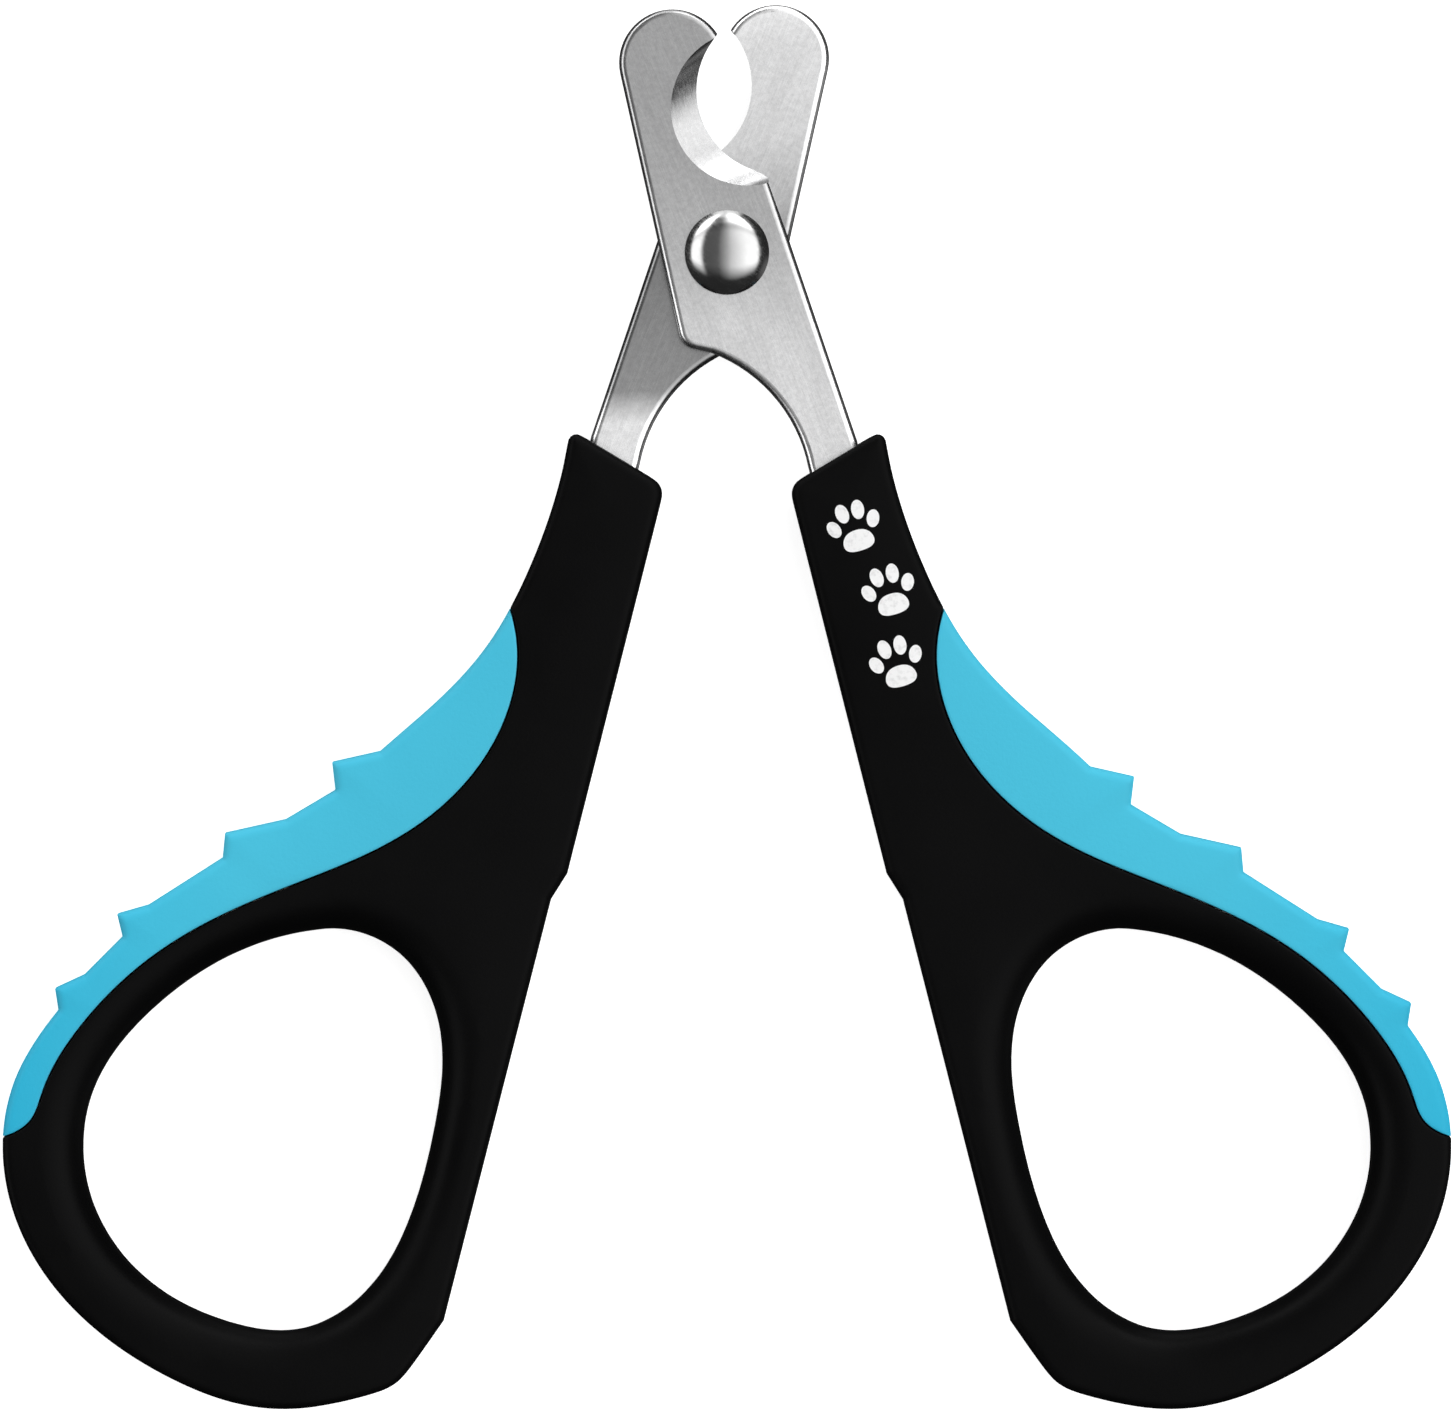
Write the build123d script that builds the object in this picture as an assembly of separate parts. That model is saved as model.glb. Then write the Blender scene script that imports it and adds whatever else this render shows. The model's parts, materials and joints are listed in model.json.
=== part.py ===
from build123d import *

import math
import os

# Riveted pet nail scissors, lying flat on a table and opened for use. Lengths are in millimetres.
#
# Frame: +Z is up and is the way the rivet's domed head faces, +Y points at the blade tips, and +X at
# the right handle. The scissors rest on the flat undersides of both handles at Z = 0. The origin is
# the centre of the footprint on the table. Outlines are drawn round the rivet's axis, for the half
# with the right handle and the front (upper) blade; the other half is mirrored. The whole is moved
# to the frame's origin at the end.

# ---- Driving dimensions -------------------------------------------------------------------------

HANDLE_THICKNESS = 9.0
MATING_PLANE_Z = HANDLE_THICKNESS / 2  # the blades slide on each other here
BLADE_THICKNESS = 1.6
BLADE_GAP = 0.04  # running clearance between the two blades
BLADE_EDGE_ROUND = 0.65  # rounding of both faces' edges, but for the ground notch
HEAD_EDGE_BREAK = 0.15  # small chamfer under the rivet's head

RIVET_SHANK_RADIUS = 2.0
RIVET_RUNNING_CLEARANCE = 0.04  # between the shank and the front blade's hole
RIVET_HEAD_RADIUS = 3.75
RIVET_HEAD_SIDE = 0.4  # height of the head's steep side, under its dome
RIVET_DOME_RADIUS = 5.2  # the dome is part of a ball of this radius
RIVET_TAIL_RADIUS = 2.8
RIVET_TAIL_HEIGHT = 0.8
RIVET_TAIL_FLAT_RADIUS = 1.96  # the flat end of the formed tail
RIVET_TAIL_BULGE = (2.6, 0.5)  # radius and depth of the tail's rounded side, half-way round
WASHER_RADIUS = 3.4
WASHER_THICKNESS = 0.5
WASHER_CLEARANCE = 0.05
WASHER_EDGE_BREAK = 0.1

RIM_ROUND = 0.6  # rounding of a handle's outer edges, over and under
LOOP_ROUND = 3.0  # rounding of the finger loop's rim
TANG_HOLE_RADIUS = 1.3

PAD_TOOTH_INSET = 1.2  # the teeth stop this far short of the handle's two faces
PAD_TONGUE_DEPTH = 1.3  # the pad keys into the handle by this much
PAD_TONGUE_ROOT = 1.0  # and starts this far inside the pad
PAD_TONGUE_THICKNESS = 3.0
PAD_TONGUE_SHARES = [0.1, 0.25, 0.4, 0.55, 0.7, 0.84]  # stations along the pad's border

# ---- Blade outline, round the rivet's axis --------------------------------------------------------

LOBE_CENTRE, LOBE_RADIUS = (-4.85, 16.9), 4.75  # the round end of the blade
NOTCH_CENTRE, NOTCH_RADIUS = (4.76, 14.47), 7.47  # the cutting edge, on the mating face
BEVEL_CENTRE, BEVEL_RADIUS = (1.91, 12.86), 6.9  # where the ground bevel meets the outer face
HEEL = (3.6, 6.8)  # corner where the notch ends and the blade's back begins
LOWER_CORNER, LOWER_CORNER_RADIUS = (-4.05, -8.35), 1.8
ARCH_START, ARCH_MIDDLE, ARCH_END = (-1.4, -8.9), (4.0, -12.6), (7.24, -19.1)
NECK_OUTER = (11.57, -16.7)  # the back of the blade where it enters the handle
TANG_END_INNER, TANG_END_OUTER, TANG_END_RADIUS = (15.5, -52.0), (19.6, -51.0), 1.9
TANG_HOLES = [(12.0, -29.0), (16.2, -44.5)]

# The rear blade is the front blade's mirror image, but for this offset of its outline from the rivet.
REAR_BLADE_OFFSET = (-0.5, 0.45)

# ---- Handle outline, round the rivet's axis -------------------------------------------------------

MOUTH_INNER, MOUTH_OUTER = (5.5, -20.7), (14.0, -15.6)  # corners of the end the blade enters
MOUTH_ROUNDINGS = {MOUTH_INNER: 1.5, MOUTH_OUTER: 0.75}  # their radii, seen from above
STOP_CORNER, STOP_STEP_END = (14.2, -55.2), (15.65, -57.5)  # the two stop corners meet when closed
INNER_FOOT = (25.2, -95.0)
OUTER_EDGE_TANGENTS = [(0.12, -1), (-0.7, 1)]  # at the mouth and at the foot
OUTER_EDGE = [
    MOUTH_OUTER,
    (15.1, -21.1),
    (17.7, -28.3),
    (21.7, -35.4),
    (26.5, -40.5),
    (31.2, -44.6),
    (37.0, -49.9),
    (47.0, -56.0),
    (55.0, -62.5),
    (60.5, -68.6),
    (63.0, -72.7),
    (64.4, -79.0),
    (62.8, -87.0),
    (57.9, -94.1),
    (49.0, -100.3),
    (38.3, -102.8),
    (30.9, -101.3),
    INNER_FOOT,
]
FINGER_LOOP = [
    (35.7, -60.15),
    (43.3, -62.1),
    (51.0, -67.2),
    (56.4, -74.6),
    (56.7, -83.5),
    (51.9, -91.0),
    (44.2, -95.1),
    (38.0, -95.7),
    (32.5, -92.7),
    (28.1, -85.4),
    (26.0, -77.5),
    (25.55, -69.2),
    (29.3, -62.2),
]

# ---- Grip pad, round the rivet's axis -------------------------------------------------------------

PAD_BORDER = [
    (19.7, -30.5),
    (18.55, -36.5),
    (21.0, -44.2),
    (28.1, -51.4),
    (39.5, -56.6),
    (50.2, -62.0),
    (57.7, -69.2),
    (60.8, -74.8),
    (61.75, -77.1),
    (62.9, -78.05),
    (66.5, -78.5),
]
PAD_FAR_SIDE = [(80.0, -78.5), (80.0, -20.0), (24.0, -20.0)]  # well outside the handle
# Each tooth: where its ramp starts, its tip, and its root. Straight edges join them.
PAD_TEETH = [
    ((31.7, -45.0), (35.7, -45.9), (35.4, -48.4)),
    ((39.8, -51.0), (45.2, -52.2), (45.4, -54.4)),
    ((52.0, -58.6), (54.8, -59.4), (54.3, -61.4)),
    ((57.7, -64.8), (60.3, -66.0), (60.0, -67.9)),
]
# The teeth sit a little further down on the right pad than on the left one.
PAD_TEETH_OFFSET = {"right": (0.55, -0.65), "left": (-0.55, 0.65)}
PAD_SAW_RUN_BACK = 1.4  # the first ramp and the last root go into the pad, to this share of their length
PAD_SAW_BACK = (-0.9, -1.2)  # from the saw-toothed edge to the hidden back of its strip

# ---- Cutting tools --------------------------------------------------------------------------------

PAST = 1.0  # a cut runs this far past the faces that it goes through


def between(a, b, share):
    """The point at that share of the way from a to b."""
    return tuple(p + (q - p) * share for p, q in zip(a, b))


def tangent_point(centre, radius, outside, turn):
    """Where a line from the outside point touches a circle. turn is +1 or -1, for the side."""
    away = Vector(*outside) - Vector(*centre)
    angle = math.atan2(away.Y, away.X) + turn * math.acos(radius / away.length)
    return centre[0] + radius * math.cos(angle), centre[1] + radius * math.sin(angle)


def disc(centre, radius):
    return Pos(*centre) * Circle(radius)


def slab(sketch, low, high):
    """The sketch as a plate between two heights."""
    return extrude(Pos(0, 0, low) * sketch, high - low)


# ---- Blades ---------------------------------------------------------------------------------------


def blade_sketch():
    """One blade and its tang, with the notch still filled in."""
    lobe_side = tangent_point(LOBE_CENTRE, LOBE_RADIUS, LOWER_CORNER, -1)
    lobe_top = (LOBE_CENTRE[0], LOBE_CENTRE[1] + LOBE_RADIUS / 2)
    edge = [
        Line(LOBE_CENTRE, lobe_side),
        Line(lobe_side, LOWER_CORNER),
        Line(LOWER_CORNER, ARCH_START),
        ThreePointArc(ARCH_START, ARCH_MIDDLE, ARCH_END),
        Line(ARCH_END, TANG_END_INNER),
        Line(TANG_END_INNER, TANG_END_OUTER),
        Line(TANG_END_OUTER, NECK_OUTER),
        Line(NECK_OUTER, HEEL),
        Line(HEEL, lobe_top),
        Line(lobe_top, LOBE_CENTRE),
    ]
    plate = make_face(edge)
    corner = plate.vertices().sort_by_distance(LOWER_CORNER)[0]
    plate = fillet(corner, LOWER_CORNER_RADIUS)
    tang_end = [plate.vertices().sort_by_distance(p)[0] for p in (TANG_END_INNER, TANG_END_OUTER)]
    return fillet(tang_end, TANG_END_RADIUS) + disc(LOBE_CENTRE, LOBE_RADIUS)


def bevel_cutter(height):
    """The ground bevel: a slanted cone through the notch's two circles, from Z = 0 to height."""
    def section(z):
        share = z / height
        centre = between(NOTCH_CENTRE, BEVEL_CENTRE, share)
        radius = NOTCH_RADIUS + (BEVEL_RADIUS - NOTCH_RADIUS) * share
        return Pos(*centre, z) * Circle(radius)

    return loft([section(-PAST), section(height + PAST)], ruled=True)


def front_blade():
    """The upper blade, its underside on Z = 0, with its notch, bevel, rivet hole and tang holes."""
    blade = slab(blade_sketch(), 0, BLADE_THICKNESS)
    rims = blade.edges().group_by(Axis.Z)
    blade = fillet(rims[0] + rims[-1], BLADE_EDGE_ROUND)
    blade -= slab(disc(NOTCH_CENTRE, NOTCH_RADIUS), -PAST, BLADE_THICKNESS + PAST)
    blade -= bevel_cutter(BLADE_THICKNESS)
    for centre in TANG_HOLES:
        blade -= slab(disc(centre, TANG_HOLE_RADIUS), -PAST, BLADE_THICKNESS + PAST)
    return blade


def rivet_hole(radius):
    return slab(Circle(radius), -PAST, HANDLE_THICKNESS + PAST)


# ---- Rivet ----------------------------------------------------------------------------------------


def pivot_rivet(head_seat, tail_seat):
    """A solid rivet: a domed head on its shank, and the tail that holds it, formed over the washer."""
    dome_height = RIVET_DOME_RADIUS - math.sqrt(RIVET_DOME_RADIUS**2 - RIVET_HEAD_RADIUS**2)
    tail_foot = tail_seat - RIVET_TAIL_HEIGHT
    bulge_radius, bulge_depth = RIVET_TAIL_BULGE
    dome_foot = (RIVET_HEAD_RADIUS, head_seat + RIVET_HEAD_SIDE)
    dome_top = (0, dome_foot[1] + dome_height)
    tail_flat = (RIVET_TAIL_FLAT_RADIUS, tail_foot)
    tail_rim = (RIVET_TAIL_RADIUS, tail_seat)
    straight = Polyline(
        tail_rim,
        (RIVET_SHANK_RADIUS, tail_seat),
        (RIVET_SHANK_RADIUS, head_seat),
        (RIVET_HEAD_RADIUS - HEAD_EDGE_BREAK, head_seat),
        (RIVET_HEAD_RADIUS, head_seat + HEAD_EDGE_BREAK),
        dome_foot,
    )
    profile = [
        *straight.edges(),
        TangentArc(dome_top, dome_foot, tangent=(1, 0)),
        Polyline(dome_top, (0, tail_foot), tail_flat),
        ThreePointArc(tail_flat, (bulge_radius, tail_seat - bulge_depth), tail_rim),
    ]
    return revolve(Plane.XZ * make_face(profile), Axis.Z)


def rivet_washer(top):
    ring = Circle(WASHER_RADIUS) - Circle(RIVET_SHANK_RADIUS + WASHER_CLEARANCE)
    washer = slab(ring, top - WASHER_THICKNESS, top)
    rims = washer.edges().filter_by(GeomType.CIRCLE).group_by(SortBy.RADIUS)[-1]
    return chamfer(rims, WASHER_EDGE_BREAK)


# ---- Handles --------------------------------------------------------------------------------------


def handle_sketch():
    """A handle and its grip pad together, without the pad's teeth or the finger loop."""
    edge = [
        Line(INNER_FOOT, STOP_STEP_END),
        Line(STOP_STEP_END, STOP_CORNER),
        Line(STOP_CORNER, MOUTH_INNER),
        Line(MOUTH_INNER, MOUTH_OUTER),
        Spline(OUTER_EDGE, tangents=OUTER_EDGE_TANGENTS),
    ]
    return make_face(edge)


def finger_loop_sketch():
    return make_face(Spline(FINGER_LOOP, periodic=True))


def handle_blank():
    """The moulded outer shape of a handle with its pad, before the two are told apart."""
    blank = slab(handle_sketch(), 0, HANDLE_THICKNESS)
    for corner, radius in MOUTH_ROUNDINGS.items():
        upright = blank.edges().filter_by(Axis.Z).sort_by_distance(corner)[0]
        blank = fillet(upright, radius)
    rims = blank.edges().group_by(Axis.Z)
    blank = fillet(rims[0] + rims[-1], RIM_ROUND)
    blank -= slab(finger_loop_sketch(), -PAST, HANDLE_THICKNESS + PAST)
    loop_rims = [
        face.inner_wires()[0].edges() for face in blank.faces().filter_by(Plane.XY) if face.inner_wires()
    ]
    return fillet([edge for rim in loop_rims for edge in rim], LOOP_ROUND)


def pad_region():
    """Everything on the pad's side of its border with the handle."""
    border = Spline(PAD_BORDER)
    outside = Polyline(PAD_BORDER[-1], *PAD_FAR_SIDE, PAD_BORDER[0])
    return make_face([border, *outside.edges()])


def pad_teeth(half):
    """The strip along a pad's edge that holds its saw teeth, with its back inside the pad."""
    saw = [point for tooth in PAD_TEETH for point in tooth]
    saw[0] = between(saw[1], saw[0], PAD_SAW_RUN_BACK)
    saw[-1] = between(saw[-2], saw[-1], PAD_SAW_RUN_BACK)
    back = [(x + PAD_SAW_BACK[0], y + PAD_SAW_BACK[1]) for x, y in reversed(saw)]
    strip = Pos(*PAD_TEETH_OFFSET[half]) * make_face(Polyline(*saw, *back, close=True))
    return slab(strip, PAD_TOOTH_INSET, HANDLE_THICKNESS - PAD_TOOTH_INSET)


def pad_tongue():
    """The rib that keys a pad into its handle, hidden inside the handle all round."""
    border = Spline(PAD_BORDER)

    def beside(distance):
        """The border moved sideways: into the handle for a positive distance."""
        stations = []
        for share in PAD_TONGUE_SHARES:
            along = border % share
            stations.append(border @ share + Vector(along.Y, -along.X) * distance)
        return stations

    handle_side, pad_side = beside(PAD_TONGUE_DEPTH), beside(-PAD_TONGUE_ROOT)
    rib = make_face(
        [
            Spline(handle_side),
            Line(handle_side[-1], pad_side[-1]),
            Spline(pad_side),
            Line(pad_side[0], handle_side[0]),
        ]
    )
    half_thickness = PAD_TONGUE_THICKNESS / 2
    return slab(rib, MATING_PLANE_Z - half_thickness, MATING_PLANE_Z + half_thickness)


def handle_and_pad(half, blade):
    """A handle moulded round a blade's tang, and the pad moulded onto its outer edge."""
    blank = handle_blank()
    pad_side = slab(pad_region(), -PAST, HANDLE_THICKNESS + PAST)
    pad = (blank & pad_side) + pad_teeth(half) + pad_tongue()
    handle = blank - pad - blade
    return handle, pad


def main():
    blade = front_blade()
    lift = MATING_PLANE_Z + BLADE_GAP / 2
    right_blade = Pos(0, 0, lift) * blade
    turned_over = mirror(mirror(right_blade, Plane.YZ), Plane.XY.offset(MATING_PLANE_Z))
    left_blade = Pos(*REAR_BLADE_OFFSET, 0) * turned_over
    right_handle, right_pad = handle_and_pad("right", right_blade)
    left_handle, left_pad = handle_and_pad("left", mirror(left_blade, Plane.YZ))
    left_handle, left_pad = mirror(left_handle, Plane.YZ), mirror(left_pad, Plane.YZ)

    head_seat = lift + BLADE_THICKNESS + BLADE_GAP
    washer_top = MATING_PLANE_Z - BLADE_GAP / 2 - BLADE_THICKNESS
    nodes = {
        "front_blade": right_blade - rivet_hole(RIVET_SHANK_RADIUS + RIVET_RUNNING_CLEARANCE),
        "rear_blade": left_blade - rivet_hole(RIVET_SHANK_RADIUS),
        "pivot_rivet": pivot_rivet(head_seat, washer_top - WASHER_THICKNESS),
        "rivet_washer": rivet_washer(washer_top),
        "right_handle": right_handle,
        "left_handle": left_handle,
        "right_grip_pad": right_pad,
        "left_grip_pad": left_pad,
    }

    box = Compound([solid for shape in nodes.values() for solid in shape.solids()]).bounding_box()
    centre = box.center()
    print("rivet axis at", round(-centre.X, 6), round(-centre.Y, 6), "overall", box.size)
    os.makedirs("parts", exist_ok=True)
    for name, shape in nodes.items():
        export_step(Pos(-centre.X, -centre.Y) * shape, f"parts/{name}.step")


main()
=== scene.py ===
import json
import math

import bmesh
import bpy
import numpy as np
from mathutils import Matrix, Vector
from mathutils.geometry import delaunay_2d_cdt


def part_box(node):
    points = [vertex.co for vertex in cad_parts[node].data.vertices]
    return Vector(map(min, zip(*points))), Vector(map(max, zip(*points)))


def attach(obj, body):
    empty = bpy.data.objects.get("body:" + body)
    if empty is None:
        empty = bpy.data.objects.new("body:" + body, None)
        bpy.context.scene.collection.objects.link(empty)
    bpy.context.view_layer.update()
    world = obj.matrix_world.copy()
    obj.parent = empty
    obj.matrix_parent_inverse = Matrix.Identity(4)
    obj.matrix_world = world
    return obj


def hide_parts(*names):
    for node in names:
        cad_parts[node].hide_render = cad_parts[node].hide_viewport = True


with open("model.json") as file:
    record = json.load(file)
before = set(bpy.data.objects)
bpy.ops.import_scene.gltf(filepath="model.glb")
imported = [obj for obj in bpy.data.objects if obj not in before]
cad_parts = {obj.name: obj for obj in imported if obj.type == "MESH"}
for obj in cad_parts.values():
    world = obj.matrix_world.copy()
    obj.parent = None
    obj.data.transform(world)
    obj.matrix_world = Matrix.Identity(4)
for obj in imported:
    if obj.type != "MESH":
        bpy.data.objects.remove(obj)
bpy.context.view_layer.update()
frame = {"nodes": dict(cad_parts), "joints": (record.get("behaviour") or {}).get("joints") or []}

# Pet nail scissors with crossed steel blades, black handles and blue rubber grip pads, lying on a pale
# table and seen from straight above. Meshes are worked out in millimetres, in the frame's own axes,
# and scaled to metres when they are made. The blades, rivet and washer are the CAD's own; the handles
# and pads are built here on the outlines that a level plane cuts from their CAD nodes.

MM = 0.001
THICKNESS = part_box("right_handle")[1].z / MM
MIDDLE = THICKNESS / 2
SECTION_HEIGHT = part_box("front_blade")[1].z / MM + 0.1  # over both tangs and the tongues of the pads
PIVOT = np.array(frame["joints"][0]["pos_m"][:2]) / MM
SIDES = ("right", "left")
MARKED_SIDE = "right"
FAR = 1e9  # farther away than anything

# ---- Shape of the mouldings, mm ----
POINT_SPACING = 0.36  # along every outline
GRID_SPACING, GRID_ROW_RATIO = 1.3, 0.866  # between the points inside an outline, in a triangular grid
SAME_POINT, STRAIGHT_DEGREES = 0.02, 0.05  # points nearer together or straighter than this are left out
CORNER_DEGREES, CORNER_SIDE = 12, 0.6  # a sharper turn than this between two long sides is a corner
SHARP_CORNER_DEGREES = 30  # so is this one between any sides
CORNER_RADIUS, CORNER_POINTS = 0.15, 5
SMOOTHING_PASSES = 4
SMOOTHED_SIDE = 0.6  # facets shorter than this belong to small roundings, and are smoothed less
RIM_ROUND = 0.8
LOOP_ROUND_ACROSS, LOOP_ROUND_DOWN = 3.3, 2.8
SEAM_ROUND = 0.28  # where a handle and its pad meet, which leaves a fine groove
TOUCHING = 0.15  # a handle and its pad meet where their outlines are nearer together than this
CROWN, CROWN_WIDTH = 0.35, 7.0  # the faces fall away this much towards every edge
PARTING_HALF_WIDTH, PARTING_RISE = 0.12, 0.05  # the mould's parting line, halfway up the walls
DRAFT = 0.04  # the walls lean in this much more, from the parting line to the rim
RIM_INSET = PARTING_RISE + DRAFT
PARTING_ROWS = [  # height over the middle and inset, from the upper side down
    (PARTING_HALF_WIDTH * 2, PARTING_RISE),
    (PARTING_HALF_WIDTH, 0.0),
    (-PARTING_HALF_WIDTH, 0.0),
    (-PARTING_HALF_WIDTH * 2, PARTING_RISE),
]
FACE_SINK = 0.03  # the faces lie this far inside the CAD's, so that the ink on them does too
RINGS = [0.03, 0.1, 0.22, 0.4, 0.62, 0.85, 1.1, 1.5, 2.0, 2.6, 3.3]  # rows of points beside an outline
RING_SLACK = 0.96  # a ring's point is kept if no outline is nearer than this share of the ring's distance
GRID_CLEARANCE = 0.6  # of the grid's spacing, between the last ring and the grid
SHARP_EDGE_DEGREES = 40


# ---- Outlines ----


def cad_section(node, height):
    """The closed outlines that a level plane cuts from a CAD node, in mm, with the largest first."""
    mesh = bmesh.new()
    mesh.from_mesh(frame["nodes"][node].data)
    mesh.transform(Matrix.Scale(1 / MM, 4))
    bmesh.ops.remove_doubles(mesh, verts=mesh.verts, dist=1e-4)
    geometry = mesh.verts[:] + mesh.edges[:] + mesh.faces[:]
    cut = bmesh.ops.bisect_plane(
        mesh, geom=geometry, plane_co=(0, 0, height), plane_no=(0, 0, 1), clear_inner=True, clear_outer=True
    )
    beside = {}
    for edge in cut["geom_cut"]:
        if isinstance(edge, bmesh.types.BMEdge):
            a, b = edge.verts
            beside.setdefault(a, []).append(b)
            beside.setdefault(b, []).append(a)
    loops = []
    while beside:
        first = next(iter(beside))
        chain, last, here = [first], None, first
        while True:
            onward = [v for v in beside[here] if v is not last]
            last, here = here, onward[0]
            if here is first:
                break
            chain.append(here)
        loops.append(np.array([v.co[:2] for v in chain]))
        for v in chain:
            beside.pop(v)
    mesh.free()
    return sorted(loops, key=lambda loop: -abs(area(loop)))


def area(loop):
    """The area inside a closed outline, below zero where it runs clockwise."""
    x, y = loop.T
    return float(np.sum(x * np.roll(y, -1) - y * np.roll(x, -1))) / 2


def turns(loop):
    """The turn at each point of a closed outline, in degrees."""
    ahead = np.roll(loop, -1, 0) - loop
    angle = np.arctan2(ahead[:, 1], ahead[:, 0])
    turn = angle - np.roll(angle, 1)
    return np.degrees((turn + math.pi) % (2 * math.pi) - math.pi)


def tidy(loop):
    """The outline without points that are nearly in line or on top of each other."""
    loop = loop[np.hypot(*(np.roll(loop, -1, 0) - loop).T) > SAME_POINT]
    return loop[np.abs(turns(loop)) > STRAIGHT_DEGREES]


def find_corners(loop):
    """The places in an outline of its real corners, without the facets of its curves."""
    sides = np.hypot(*(np.roll(loop, -1, 0) - loop).T)
    turn = np.abs(turns(loop))
    long_sides = np.minimum(sides, np.roll(sides, 1)) > CORNER_SIDE
    return np.flatnonzero((turn > SHARP_CORNER_DEGREES) | ((turn > CORNER_DEGREES) & long_sides))


def resample(stretch):
    """The stretch with evenly spaced points between its two ends, and its long facets smoothed out."""
    sides = np.hypot(*np.diff(stretch, axis=0).T)
    along = np.concatenate([[0], np.cumsum(sides)])
    stations = np.linspace(0, along[-1], max(2, round(along[-1] / POINT_SPACING)) + 1)
    points = np.column_stack([np.interp(stations, along, stretch[:, k]) for k in (0, 1)])
    side_here = sides[np.searchsorted(along, stations[1:-1], "right") - 1]
    give = np.minimum(side_here / SMOOTHED_SIDE, 1)[:, None] / 2
    for _ in range(SMOOTHING_PASSES):
        points[1:-1] += give * ((points[:-2] + points[2:]) / 2 - points[1:-1])
    return points


def corner_arc(before, corner, after):
    """A small arc in place of a corner."""
    back, ahead = before - corner, after - corner
    back_length, ahead_length = np.hypot(*back), np.hypot(*ahead)
    cosine = np.clip(back @ ahead / (back_length * ahead_length), -1, 1)
    reach = CORNER_RADIUS / math.tan(math.acos(cosine) / 2)
    reach = min(reach, 0.45 * back_length, 0.45 * ahead_length)  # so that two arcs never meet
    start, end = corner + back / back_length * reach, corner + ahead / ahead_length * reach
    shares = np.linspace(0, 1, CORNER_POINTS)[:, None]
    return (1 - shares) ** 2 * start + 2 * shares * (1 - shares) * corner + shares**2 * end


def even(loop):
    """The outline, anticlockwise: smooth stretches of evenly spaced points between small corners."""
    loop = tidy(loop if area(loop) > 0 else loop[::-1])
    corners = find_corners(loop)
    if not len(corners):
        return resample(np.vstack([loop, loop[:1]]))[:-1]
    loop = np.roll(loop, -corners[0], 0)
    starts = corners - corners[0]
    closed = np.vstack([loop, loop[:1]])
    stretches = [resample(closed[start:end + 1]) for start, end in zip(starts, [*starts[1:], len(loop)])]
    outline = []
    for last, stretch in zip(stretches[-1:] + stretches[:-1], stretches):
        outline += [corner_arc(last[-2], stretch[0], stretch[1]), stretch[1:-1]]
    return np.vstack(outline)


def inward_normals(loop, hole):
    """Unit normals at an outline's points, into the material."""
    along = np.roll(loop, -1, 0) - np.roll(loop, 1, 0)
    normals = np.column_stack([-along[:, 1], along[:, 0]]) / np.hypot(*along.T)[:, None]
    return -normals if hole else normals


def chunks(count, size=400):
    """The numbers up to count, in groups of about that size, which keep the tables of gaps small."""
    return np.array_split(np.arange(count), max(1, count // size))


def distance(points, loops):
    """From each point to the nearest of the loops' sides."""
    nearest = np.full(len(points), FAR)
    for loop in loops:
        start, side = loop, np.roll(loop, -1, 0) - loop
        length = np.einsum("ij,ij->i", side, side)
        for chunk in chunks(len(points)):
            away = points[chunk, None] - start[None]
            share = np.clip(np.einsum("pij,ij->pi", away, side) / length, 0, 1)
            gap = away - share[..., None] * side[None]
            nearest[chunk] = np.minimum(nearest[chunk], np.sqrt(np.einsum("pij,pij->pi", gap, gap)).min(1))
    return nearest


def distance_to_points(points, targets):
    """From each point to the nearest of the target points."""
    nearest = np.full(len(points), FAR)
    if len(targets):
        for chunk in chunks(len(points)):
            gap = points[chunk, None] - targets[None]
            nearest[chunk] = np.sqrt((gap**2).sum(2)).min(1)
    return nearest


def inside(points, loops):
    """True for the points that lie inside an odd number of the loops."""
    found = np.zeros(len(points), bool)
    x, y = points[:, 0:1], points[:, 1:2]
    for loop in loops:
        x0, y0 = loop.T
        x1, y1 = np.roll(loop, -1, 0).T
        crosses = (y0 > y) != (y1 > y)
        with np.errstate(divide="ignore", invalid="ignore"):
            at = x0 + (y - y0) * (x1 - x0) / (y1 - y0)
        found ^= (crosses & (x < at)).sum(1) % 2 == 1
    return found


# ---- Moulded pieces ----


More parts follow.
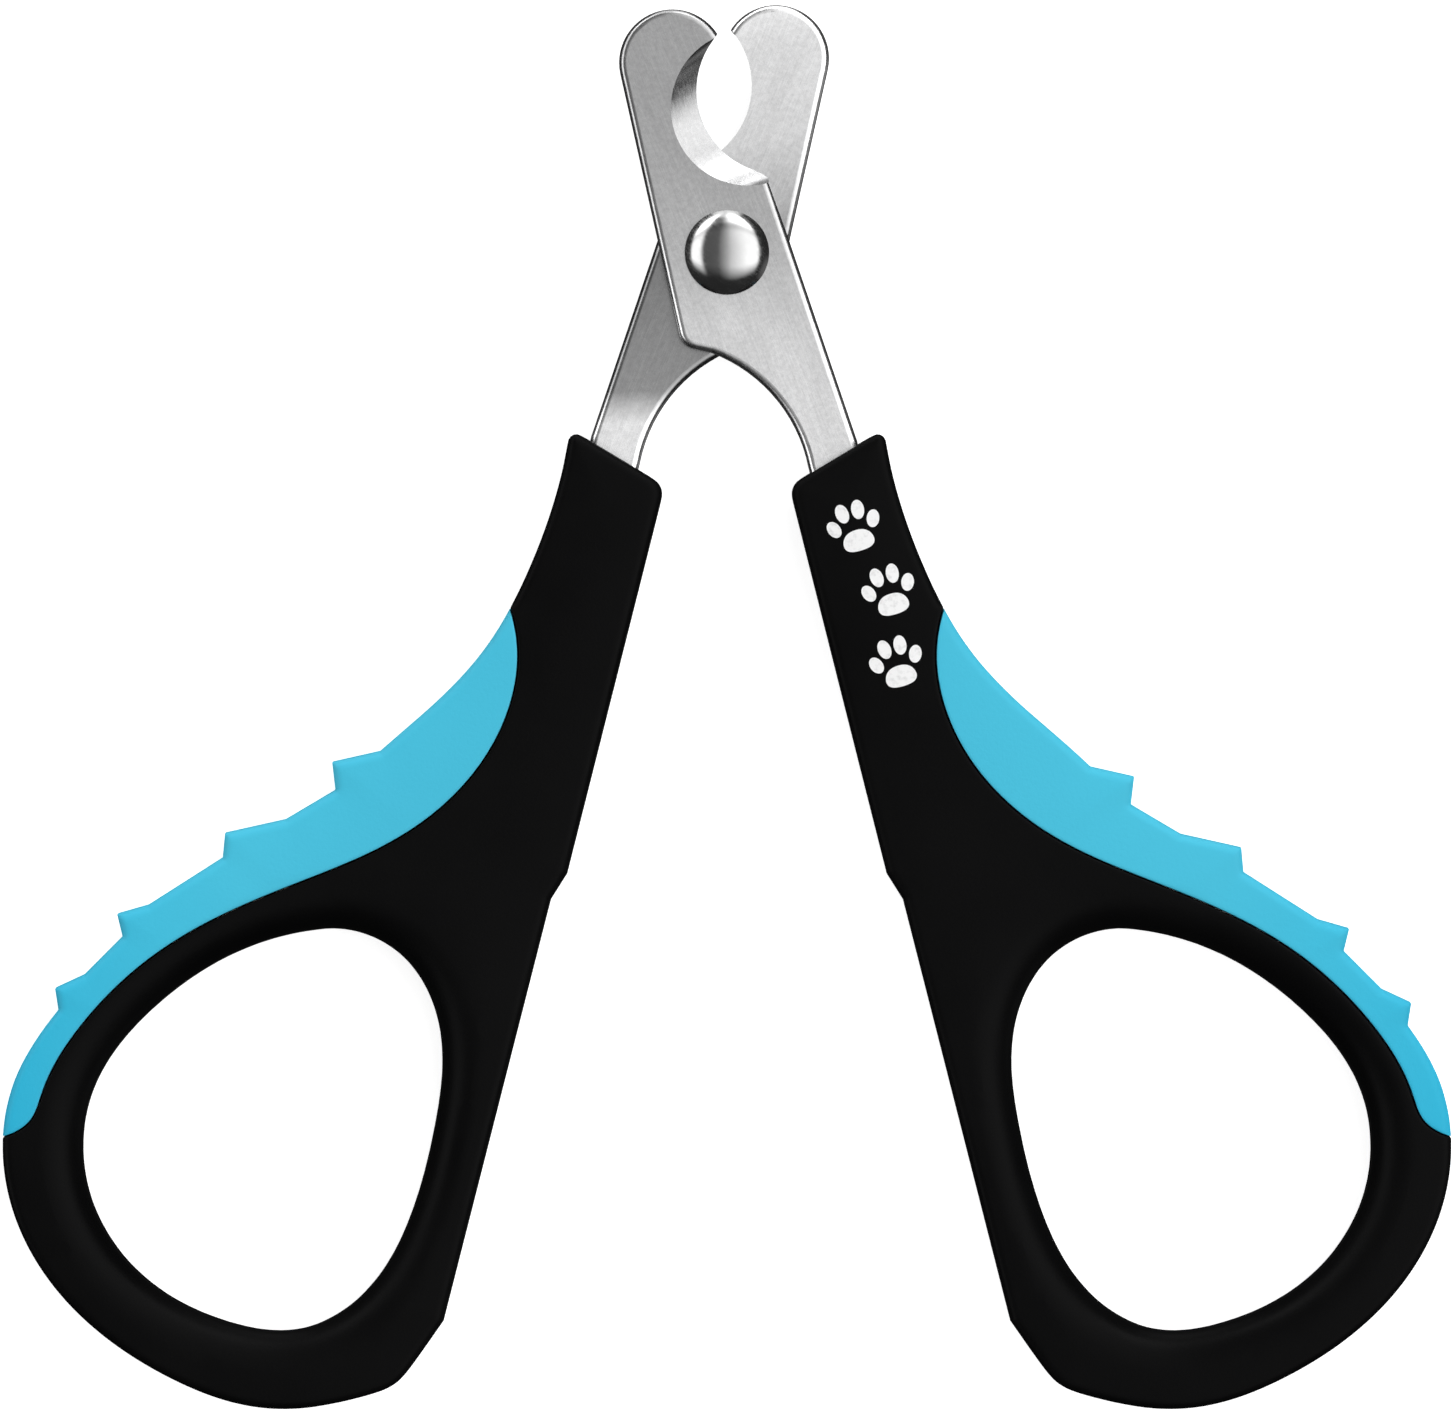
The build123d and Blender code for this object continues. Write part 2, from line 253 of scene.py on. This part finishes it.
class Moulding:
    """A handle or a pad: its outlines, and the height of its face over any point inside them."""

    def __init__(self, node, loops, other_loops):
        self.node, self.loops = node, loops
        self.normals = [inward_normals(loop, index > 0) for index, loop in enumerate(loops)]
        self.rims = [loop + normals * RIM_INSET for loop, normals in zip(loops, self.normals)]
        self.border, self.free = [], []
        for loop in loops:
            near = distance(loop, other_loops) < TOUCHING
            self.border.append(loop[near])
            self.free.append(loop[~near])

    def face_drop(self, points, edges):
        """How far the face lies under its highest level. The edges are those of the whole half."""
        border = distance_to_points(points, np.vstack(self.border))
        rim = distance_to_points(points, self.free[0])
        # A sum of cubes lets one rounding run smoothly into the next.
        drop = rounding(rim, RIM_ROUND, RIM_ROUND) ** 3 + rounding(border, SEAM_ROUND, SEAM_ROUND) ** 3
        if len(self.loops) > 1:
            loop = distance(points, self.loops[1:])
            drop += rounding(loop, LOOP_ROUND_ACROSS, LOOP_ROUND_DOWN) ** 3
        edge = distance_to_points(points, edges)
        crown = CROWN * (1 - np.minimum(edge / CROWN_WIDTH, 1)) ** 2
        return FACE_SINK + np.cbrt(drop) + crown

    def face_points(self):
        """The rims' points, the rings beside the outlines, and a grid over what is left."""
        points = np.vstack(self.rims)
        for loop, normals in zip(self.loops, self.normals):
            for ring_gap in RINGS:
                gap = ring_gap + RIM_INSET
                ring = loop + normals * gap
                clear = distance(ring, self.loops) > gap * RING_SLACK
                points = np.vstack([points, ring[clear & inside(ring, self.loops)]])
        low, high = points.min(0), points.max(0)
        grid = []
        for number, y in enumerate(np.arange(low[1], high[1], GRID_SPACING * GRID_ROW_RATIO)):
            shift = GRID_SPACING / 2 * (number % 2)
            grid += [(x, y) for x in np.arange(low[0] + shift, high[0], GRID_SPACING)]
        grid = np.array(grid)
        clearance = RINGS[-1] + RIM_INSET + GRID_SPACING * GRID_CLEARANCE
        deep = distance(grid, self.loops) > clearance
        return np.vstack([points, grid[deep & inside(grid, self.loops)]])


def rounding(gap, across, down):
    """The drop of a quarter-ellipse rounding at that distance from its edge."""
    share = np.clip(1 - gap / across, 0, 1)
    return down * (1 - np.sqrt(1 - share**2))


def triangulate(points, rims):
    """The points, triangles between them within the rims, and where each rim's points went."""
    sides, starts, start = [], [], 0
    for rim in rims:
        count = len(rim)
        sides += [(start + i, start + (i + 1) % count) for i in range(count)]
        starts.append(start)
        start += count
    flat, _, faces, origins, _, _ = delaunay_2d_cdt([tuple(p) for p in points], sides, [], 0, 1e-5)
    flat = np.array([tuple(p) for p in flat])
    corners = np.array(faces)
    place = {origin: new for new, found in enumerate(origins) for origin in found}
    rim_places = [[place[start + i] for i in range(len(rim))] for start, rim in zip(starts, rims)]
    return flat, corners[inside(flat[corners].mean(1), rims)], rim_places


def make_moulding(moulding, edges):
    """The closed mesh of a handle or pad."""
    flat, triangles, rim_places = triangulate(moulding.face_points(), moulding.rims)
    drop = moulding.face_drop(flat, edges)
    mesh = bmesh.new()
    top = [mesh.verts.new((x, y, THICKNESS - d)) for (x, y), d in zip(flat, drop)]
    bottom = [mesh.verts.new((x, y, d)) for (x, y), d in zip(flat, drop)]
    for a, b, c in triangles:
        mesh.faces.new((top[a], top[b], top[c]))
        mesh.faces.new((bottom[c], bottom[b], bottom[a]))
    for loop, normals, rim in zip(moulding.loops, moulding.normals, rim_places):
        layers = [[top[i] for i in rim]]
        for height, inset in PARTING_ROWS:
            row = loop + normals * inset
            layers.append([mesh.verts.new((x, y, MIDDLE + height)) for x, y in row])
        layers.append([bottom[i] for i in rim])
        for upper, lower in zip(layers, layers[1:]):
            add_band(mesh, upper, lower)
    loose = [v for v in mesh.verts if not v.link_faces]
    bmesh.ops.delete(mesh, geom=loose, context="VERTS")
    bmesh.ops.recalc_face_normals(mesh, faces=mesh.faces)
    return finish_mesh(mesh, f"{moulding.node}_moulding")


def add_band(mesh, upper, lower):
    """The quads between two closed rows of points."""
    for i in range(len(upper)):
        j = (i + 1) % len(upper)
        mesh.faces.new((upper[i], lower[i], lower[j], upper[j]))


def finish_mesh(mesh, name):
    """A smooth-shaded object from a mesh in mm."""
    mesh.transform(Matrix.Scale(MM, 4))
    data = bpy.data.meshes.new(name)
    mesh.to_mesh(data)
    mesh.free()
    data.polygons.foreach_set("use_smooth", [True] * len(data.polygons))
    data.set_sharp_from_angle(angle=math.radians(SHARP_EDGE_DEGREES))
    piece = bpy.data.objects.new(name, data)
    bpy.context.scene.collection.objects.link(piece)
    return piece


# ---- Printed mark ----

PAW_SCALE = 1.2
PAW_TOES = [  # x, y, half width, half height, lean in degrees
    (-1.5, 0.7, 0.47, 0.66, 22),
    (-0.6, 1.65, 0.48, 0.72, 7),
    (0.6, 1.65, 0.48, 0.72, -7),
    (1.5, 0.7, 0.47, 0.66, -22),
]
TOE_POINTS, HEEL_POINTS = 28, 56
HEEL_Y = -0.55
HEEL_HALF_WIDTH, HEEL_TAPER = 1.15, 0.16  # narrower towards the toes
HEEL_HALF_HEIGHT, HEEL_BULGE = 0.78, 0.18  # and fuller at its two sides
PAW_PRINTS = [(-1.5, -6.0), (-0.2, -12.3), (-1.4, -18.6)]  # across and along the shank, from its mouth
MOUTH_REACH = 6.0  # the handle's points this near its end stand for its mouth
MARK_LEAN = 0.55  # of the angle from the pivot to the mouth
INK_THICKNESS = 0.02


def paw_outlines():
    """A plain paw print round its own centre: four toes and a heel."""
    turn = np.linspace(0, 2 * math.pi, TOE_POINTS, endpoint=False)
    outlines = []
    for x, y, half_width, half_height, lean in PAW_TOES:
        cosine, sine = math.cos(math.radians(lean)), math.sin(math.radians(lean))
        across, up = half_width * np.cos(turn), half_height * np.sin(turn)
        outlines.append(np.column_stack([x + across * cosine - up * sine, y + across * sine + up * cosine]))
    turn = np.linspace(0, 2 * math.pi, HEEL_POINTS, endpoint=False)
    width = HEEL_HALF_WIDTH * (1 - HEEL_TAPER * np.sin(turn))
    height = HEEL_HALF_HEIGHT + HEEL_BULGE * np.cos(turn) ** 2
    outlines.append(np.column_stack([width * np.cos(turn), HEEL_Y + height * np.sin(turn)]))
    return outlines


def make_mark(handle, edges):
    """White paw prints on the handle's shank, a film of ink that follows its face."""
    outline = handle.loops[0]
    mouth = outline[outline[:, 1] > outline[:, 1].max() - MOUTH_REACH].mean(0)
    shank = mouth - PIVOT
    lean = math.atan2(shank[0], -shank[1]) * MARK_LEAN
    cosine, sine = math.cos(lean), math.sin(lean)
    mesh = bmesh.new()
    for across, along in PAW_PRINTS:
        for part in paw_outlines():
            x, y = part[:, 0] * PAW_SCALE + across, part[:, 1] * PAW_SCALE + along
            places = np.column_stack([mouth[0] + x * cosine - y * sine, mouth[1] + x * sine + y * cosine])
            height = THICKNESS - handle.face_drop(places, edges)
            top = [mesh.verts.new((px, py, z + INK_THICKNESS)) for (px, py), z in zip(places, height)]
            foot = [mesh.verts.new((px, py, z - INK_THICKNESS)) for (px, py), z in zip(places, height)]
            mesh.faces.new(top)
            mesh.faces.new(foot[::-1])
            add_band(mesh, top, foot)
    bmesh.ops.triangulate(mesh, faces=[f for f in mesh.faces if len(f.verts) > 4])
    return finish_mesh(mesh, "printed_mark")


# ---- Materials ----

SHOWN_BLADE = 0.045  # m, from the blades' tips down
BLADE_SPAN = (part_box("front_blade")[1].y - SHOWN_BLADE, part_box("front_blade")[1].y)
# Painted reflection and shade: the steel's tone at shares of that span, from the neck to the tip, standing
# in for how the studio's light falls along each blade.
FRONT_PAINTED_SHEEN = [(0.0, 1.0), (0.22, 0.97), (0.38, 0.88), (0.55, 0.62), (0.7, 0.54), (1.0, 0.51)]
# Painted shade where the front blade and rivet lie over the rear one, and painted highlight near its handle
# and its tip.
REAR_PAINTED_SHEEN = [
    (0.0, 1.2),
    (0.18, 1.12),
    (0.245, 0.4),
    (0.5, 0.28),
    (0.62, 0.65),
    (0.75, 0.93),
    (0.93, 1.0),
    (1.0, 1.15),
]
BLADE_TURN = {"front_blade": -22, "rear_blade": 22}  # degrees, which lays the steel's grain along it


class Nodes:
    """A material's node tree, with short ways to add and join nodes."""

    def __init__(self, name):
        self.material = bpy.data.materials.new(name)
        self.material.use_nodes = True
        self.tree = self.material.node_tree
        self.surface = self.tree.nodes["Principled BSDF"]
        self.place = self.tree.nodes.new("ShaderNodeTexCoord").outputs["Object"]

    def set(self, **values):
        """Values for the surface's sockets, whose names have _ for a space."""
        for name, value in values.items():
            self.surface.inputs[name.replace("_", " ")].default_value = value

    def link(self, a, b):
        self.tree.links.new(a, b)

    def mapped(self, scale, turn=0.0):
        """Object coordinates, turned about Z and then stretched."""
        turned = self.tree.nodes.new("ShaderNodeMapping")
        turned.inputs["Rotation"].default_value = (0, 0, turn)
        stretched = self.tree.nodes.new("ShaderNodeMapping")
        stretched.inputs["Scale"].default_value = scale
        self.link(self.place, turned.inputs["Vector"])
        self.link(turned.outputs["Vector"], stretched.inputs["Vector"])
        return stretched.outputs["Vector"]

    def nearness(self, reach):
        """1 at the centre of the footprint, and 0 from that far away on, in metres."""
        node = self.tree.nodes.new("ShaderNodeTexGradient")
        node.gradient_type = "SPHERICAL"
        self.link(self.mapped((1 / reach, 1 / reach, 1 / reach)), node.inputs["Vector"])
        return node.outputs["Fac"]

    def height(self, low, high):
        """0 to 1 along the scissors, from their handles' end, Y = low, towards the tips, Y = high."""
        place = self.tree.nodes.new("ShaderNodeSeparateXYZ")
        self.link(self.place, place.inputs["Vector"])
        return self.range(place.outputs["Y"], 0.0, 1.0, low, high)

    def noise(self, scale, detail=3.0, roughness=0.55, vector=None):
        node = self.tree.nodes.new("ShaderNodeTexNoise")
        node.inputs["Scale"].default_value = scale
        node.inputs["Detail"].default_value = detail
        node.inputs["Roughness"].default_value = roughness
        self.link(vector or self.place, node.inputs["Vector"])
        return node.outputs["Fac"]

    def ramp(self, value, stops):
        """The value turned into a colour, by (position, colour or grey) stops."""
        node = self.tree.nodes.new("ShaderNodeValToRGB")
        elements = node.color_ramp.elements
        while len(elements) < len(stops):
            elements.new(0.5)
        for element, (position, colour) in zip(elements, stops):
            element.position = position
            grey = isinstance(colour, (int, float))
            element.color = (colour, colour, colour, 1) if grey else (*colour, 1)
        self.link(value, node.inputs["Fac"])
        return node.outputs["Color"]

    def range(self, value, low, high, start=0.0, end=1.0):
        """The value, which runs from start to end, made to run from low to high."""
        node = self.tree.nodes.new("ShaderNodeMapRange")
        for name, number in (("From Min", start), ("From Max", end), ("To Min", low), ("To Max", high)):
            node.inputs[name].default_value = number
        self.link(value, node.inputs["Value"])
        return node.outputs["Result"]

    def multiply(self, first, *others):
        """The product of some colours."""
        for other in others:
            node = self.tree.nodes.new("ShaderNodeMix")
            node.data_type = "RGBA"
            node.blend_type = "MULTIPLY"
            node.inputs["Factor"].default_value = 1.0
            self.link(first, node.inputs["A"])
            self.link(other, node.inputs["B"])
            first = node.outputs["Result"]
        return first

    def bump(self, height, strength, depth_mm):
        node = self.tree.nodes.new("ShaderNodeBump")
        node.inputs["Strength"].default_value = strength
        node.inputs["Distance"].default_value = depth_mm * MM
        self.link(height, node.inputs["Height"])
        return node.outputs["Normal"]

    def finish(self, colour, roughness, normal=None):
        self.link(colour, self.surface.inputs["Base Color"])
        self.link(roughness, self.surface.inputs["Roughness"])
        if normal:
            self.link(normal, self.surface.inputs["Normal"])
        return self.material


def handle_plastic():
    """Black moulded plastic with a fine spark-eroded grain and faint rubbed patches."""
    nodes = Nodes("black_handle_plastic")
    nodes.set(IOR=1.46, Specular_IOR_Level=0.045)
    patches = nodes.noise(70, detail=4)
    grain = nodes.noise(3600, detail=2)
    colour = nodes.ramp(patches, [(0.3, (0.002, 0.002, 0.0021)), (0.75, (0.0032, 0.0032, 0.0033))])
    roughness = nodes.range(patches, 0.34, 0.48, 0.3, 0.7)
    return nodes.finish(colour, roughness, nodes.bump(grain, strength=0.35, depth_mm=0.03))


def grip_rubber():
    """Blue soft-touch rubber: matte, with painted shade that deepens and darkens the blue far from the
    middle, and a fine grain.
    """
    nodes = Nodes("blue_grip_rubber")
    nodes.set(IOR=1.45, Specular_IOR_Level=0.3, Sheen_Weight=0.06, Sheen_Roughness=0.4)
    patches = nodes.noise(45, detail=4)
    grain = nodes.noise(2800, detail=2)
    # Painted shade: the blue is deeper and darker far from the middle of the footprint.
    painted_shade = nodes.ramp(nodes.nearness(0.085), [(0.1, (0.32, 0.88, 0.96)), (0.45, (1.0, 1.0, 1.0))])
    tint = nodes.ramp(patches, [(0.3, (0.047, 0.455, 0.636)), (0.7, (0.052, 0.48, 0.662))])
    roughness = nodes.range(patches, 0.5, 0.64, 0.3, 0.7)
    normal = nodes.bump(grain, strength=0.4, depth_mm=0.04)
    return nodes.finish(nodes.multiply(tint, painted_shade), roughness, normal)


def blade_steel(blade, painted_sheen):
    """Brushed stainless steel, its grain along the blade, with fine scratches and cloudy patches.

    The painted sheen is painted reflection and shade: the steel's tone along the blade, from its neck to
    its tip.
    """
    nodes = Nodes(f"{blade}_steel")
    nodes.set(Metallic=1.0)
    turn = math.radians(BLADE_TURN[blade])
    streaks = nodes.noise(1.0, 4, 0.6, nodes.mapped((5200, 260, 5200), turn))
    broad = nodes.noise(1.0, 2, 0.5, nodes.mapped((420, 60, 420), turn))
    colour = nodes.multiply(
        nodes.ramp(streaks, [(0.25, 0.9), (0.75, 1.0)]),
        nodes.ramp(nodes.noise(190), [(0.3, 0.94), (0.7, 1.0)]),
        nodes.ramp(broad, [(0.35, 0.95), (0.65, 1.0)]),
        nodes.ramp(nodes.noise(2300, roughness=0.6), [(0.35, 0.88), (0.65, 1.0)]),
        nodes.ramp(nodes.noise(6000), [(0.3, (0.93, 0.93, 0.94)), (0.7, (1.0, 1.0, 1.0))]),
        # painted reflection and shade along the blade, multiplied into the steel's colour
        nodes.ramp(nodes.height(*BLADE_SPAN), painted_sheen),
    )
    roughness = nodes.range(streaks, 0.2, 0.3, 0.3, 0.7)
    return nodes.finish(colour, roughness, nodes.bump(streaks, strength=0.25, depth_mm=0.012))


def rivet_steel():
    """Polished steel with hairline scratches."""
    nodes = Nodes("polished_rivet_steel")
    nodes.set(Metallic=1.0)
    scratches = nodes.noise(1.0, 3, 0.6, nodes.mapped((900, 7000, 900), 0.6))
    colour = nodes.ramp(nodes.noise(320), [(0.3, 0.4), (0.7, 0.46)])
    roughness = nodes.range(scratches, 0.1, 0.2, 0.35, 0.7)
    return nodes.finish(colour, roughness, nodes.bump(scratches, strength=0.06, depth_mm=0.004))


def white_ink():
    """Matte white ink, a little speckled."""
    nodes = Nodes("white_ink")
    nodes.set(Specular_IOR_Level=0.3)
    speckle = nodes.noise(2200)
    colour = nodes.ramp(speckle, [(0.25, 0.66), (0.5, 0.84)])
    return nodes.finish(colour, nodes.range(speckle, 0.45, 0.6))


def table_top():
    """A white table, bright enough of itself to show only the deepest shadows."""
    nodes = Nodes("pale_table")
    nodes.set(Specular_IOR_Level=0.0, Emission_Color=(1, 1, 1, 1), Emission_Strength=0.72)
    colour = nodes.ramp(nodes.noise(6, detail=2), [(0.3, 0.9), (0.7, 0.93)])
    return nodes.finish(colour, nodes.range(nodes.noise(40), 0.85, 0.95))


# ---- Studio ----

# The studio is two softboxes that run along Y, left and right, with a round light low behind the tips and a
# weak one low on the right. The first profile is the softboxes' brightness against the angle from straight
# up, in degrees, towards +X, and the second is the share of it that is left against the angle towards +Y.
ACROSS_PROFILE = [
    (-90, 0.0),
    (-78, 0.0),
    (-73, 2.6),
    (-56, 2.4),
    (-48, 0.15),
    (-18, 0.2),
    (0, 0.8),
    (10, 1.3),
    (24, 1.7),
    (44, 2.3),
    (64, 2.4),
    (70, 0.0),
    (90, 0.0),
]
ALONG_PROFILE = [
    (-90, 0.0),
    (-58, 0.0),
    (-28, 1.0),
    (45, 1.0),
    (54, 0.7),
    (60, 0.75),
    (66, 2.0),
    (80, 2.0),
    (86, 0.2),
    (90, 0.2),
]
# Each round light: azimuth, angle from straight up, half width, softness, brightness.
BACK_LIGHT = (90, 98, 20, 8, 1.4)
SIDE_LIGHT = (-22, 105, 18, 14, 0.3)
UNDER_BRIGHTNESS = 0.04
BOUNCE_BRIGHTNESS = 0.3  # what a pale table would send up to the sides and undersides
BACKDROP_BRIGHTNESS = 1.0


class Sky:
    """The world's node tree, with short ways to add lights to it by their direction."""

    def __init__(self, name):
        world = bpy.data.worlds.new(name)
        bpy.context.scene.world = world
        world.use_nodes = True
        self.tree = world.node_tree
        self.direction = self.tree.nodes.new("ShaderNodeTexCoord").outputs["Generated"]

    def math(self, operation, a, b):
        node = self.tree.nodes.new("ShaderNodeMath")
        node.operation = operation
        for socket, value in zip(node.inputs, (a, b)):
            if isinstance(value, (int, float)):
                socket.default_value = value
            else:
                self.tree.links.new(value, socket)
        return node.outputs["Value"]

    def profile(self, angle, stops):
        """The profile's value at an angle in radians."""
        share = self.math("ADD", self.math("MULTIPLY", angle, 1 / math.pi), 0.5)
        top = max(value for _, value in stops)
        node = self.tree.nodes.new("ShaderNodeValToRGB")
        elements = node.color_ramp.elements
        while len(elements) < len(stops):
            elements.new(0.5)
        for element, (degrees, value) in zip(elements, stops):
            element.position = degrees / 180 + 0.5
            element.color = (value / top, value / top, value / top, 1)
        self.tree.links.new(share, node.inputs["Fac"])
        return self.math("MULTIPLY", node.outputs["Color"], top)

    def softboxes(self):
        """The product of the two profiles. Below the horizon they go on as they are at it."""
        part = self.tree.nodes.new("ShaderNodeSeparateXYZ")
        self.tree.links.new(self.direction, part.inputs["Vector"])
        up = self.math("MAXIMUM", part.outputs["Z"], 0.0)
        across = self.profile(self.math("ARCTAN2", part.outputs["X"], up), ACROSS_PROFILE)
        along = self.profile(self.math("ARCTAN2", part.outputs["Y"], up), ALONG_PROFILE)
        return self.math("MULTIPLY", across, along)

    def disc(self, azimuth, down, half, soft, brightness):
        """A round light with a soft edge."""
        azimuth, down = math.radians(azimuth), math.radians(down)
        centre = (math.sin(down) * math.cos(azimuth), math.sin(down) * math.sin(azimuth), math.cos(down))
        dot = self.tree.nodes.new("ShaderNodeVectorMath")
        dot.operation = "DOT_PRODUCT"
        dot.inputs[1].default_value = centre
        self.tree.links.new(self.direction, dot.inputs[0])
        step = self.tree.nodes.new("ShaderNodeMapRange")
        step.interpolation_type = "SMOOTHSTEP"
        edges = math.cos(math.radians(half + soft)), math.cos(math.radians(half - soft))
        for name, number in zip(("From Min", "From Max", "To Min", "To Max"), (*edges, 0, brightness)):
            step.inputs[name].default_value = number
        self.tree.links.new(dot.outputs["Value"], step.inputs["Value"])
        return step.outputs["Result"]

    def finish(self, lights):
        """The lights, seen by all but the camera, which sees an even backdrop."""
        rays = self.tree.nodes.new("ShaderNodeLightPath").outputs
        seen = rays["Is Camera Ray"]
        bounce = self.math("MULTIPLY", rays["Is Diffuse Ray"], BOUNCE_BRIGHTNESS)
        total = self.math("MAXIMUM", lights, self.math("MAXIMUM", bounce, UNDER_BRIGHTNESS))
        lit = self.math("MULTIPLY", total, self.math("SUBTRACT", 1, seen))
        backdrop = self.math("MULTIPLY", seen, BACKDROP_BRIGHTNESS)
        background = self.tree.nodes["Background"]
        background.inputs["Color"].default_value = (1, 1, 1, 1)
        self.tree.links.new(self.math("ADD", lit, backdrop), background.inputs["Strength"])


def make_sky():
    """Soft studio lights on the sky, and nearly black under the horizon."""
    sky = Sky("studio")
    round_lights = sky.math("ADD", sky.disc(*BACK_LIGHT), sky.disc(*SIDE_LIGHT))
    sky.finish(sky.math("ADD", sky.softboxes(), round_lights))


FLOOR_HALF_WIDTH = 6  # m
FLOOR_SEGMENTS = 8
FLOOR_DROP = 0.02  # mm, so that the undersides don't lie in the table's own plane


def make_floor():
    """The table. Mirrored and bounced rays pass it by, and meet the sky's own values instead."""
    mesh = bmesh.new()
    size = FLOOR_HALF_WIDTH / MM
    bmesh.ops.create_grid(mesh, x_segments=FLOOR_SEGMENTS, y_segments=FLOOR_SEGMENTS, size=size)
    mesh.transform(Matrix.Translation((0, 0, -FLOOR_DROP)))
    floor = finish_mesh(mesh, "table")
    paint(floor, table_top())
    floor.visible_glossy = False
    floor.visible_diffuse = False


LENS = 400.0
SENSOR = 36.0
VIEW_WIDTH = 129.14  # of the table, at the scissors
VIEW_CENTRE = (-0.13, 0.1)
CLIP_END = 20  # m


def make_camera():
    """A long lens, straight above the scissors."""
    data = bpy.data.cameras.new("camera")
    data.lens = LENS
    data.sensor_width = SENSOR
    data.clip_end = CLIP_END
    camera = bpy.data.objects.new("camera", data)
    bpy.context.scene.collection.objects.link(camera)
    height = MIDDLE + VIEW_WIDTH * LENS / SENSOR
    camera.location = (VIEW_CENTRE[0] * MM, VIEW_CENTRE[1] * MM, height * MM)
    bpy.context.scene.camera = camera


# ---- The whole ----


def paint(piece, material):
    piece.data.materials.clear()
    piece.data.materials.append(material)


def outlines(node, count):
    """The largest outlines of a node's section, evenly pointed."""
    return [even(loop) for loop in cad_section(node, SECTION_HEIGHT)[:count]]


def make_half(side, plastic, rubber):
    """The handle and pad of one side. Returns the handle's moulding and the outer edges of both."""
    handle_loops, pad_loops = outlines(f"{side}_handle", 2), outlines(f"{side}_grip_pad", 1)
    handle = Moulding(f"{side}_handle", handle_loops, pad_loops)
    pad = Moulding(f"{side}_grip_pad", pad_loops, handle_loops)
    edges = np.vstack(handle.free + pad.free)
    for moulding, material, slot in ((handle, plastic, "handle_plastic"), (pad, rubber, "grip_rubber")):
        piece = make_moulding(moulding, edges)
        paint(piece, material)
        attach(piece, f"{side}_half")
        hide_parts(moulding.node)
    return handle, edges


def main():
    make_camera()
    make_sky()
    make_floor()
    bpy.context.scene.view_settings.view_transform = "Standard"

    plastic, rubber = handle_plastic(), grip_rubber()
    for side in SIDES:
        handle, edges = make_half(side, plastic, rubber)
        if side == MARKED_SIDE:
            mark = make_mark(handle, edges)
            paint(mark, white_ink())
            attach(mark, f"{side}_half")

    nodes = frame["nodes"]
    # The blades' steel carries painted reflection and shade along its length.
    paint(nodes["front_blade"], blade_steel("front_blade", FRONT_PAINTED_SHEEN))
    paint(nodes["rear_blade"], blade_steel("rear_blade", REAR_PAINTED_SHEEN))
    steel = rivet_steel()
    paint(nodes["pivot_rivet"], steel)
    paint(nodes["rivet_washer"], steel)


main()
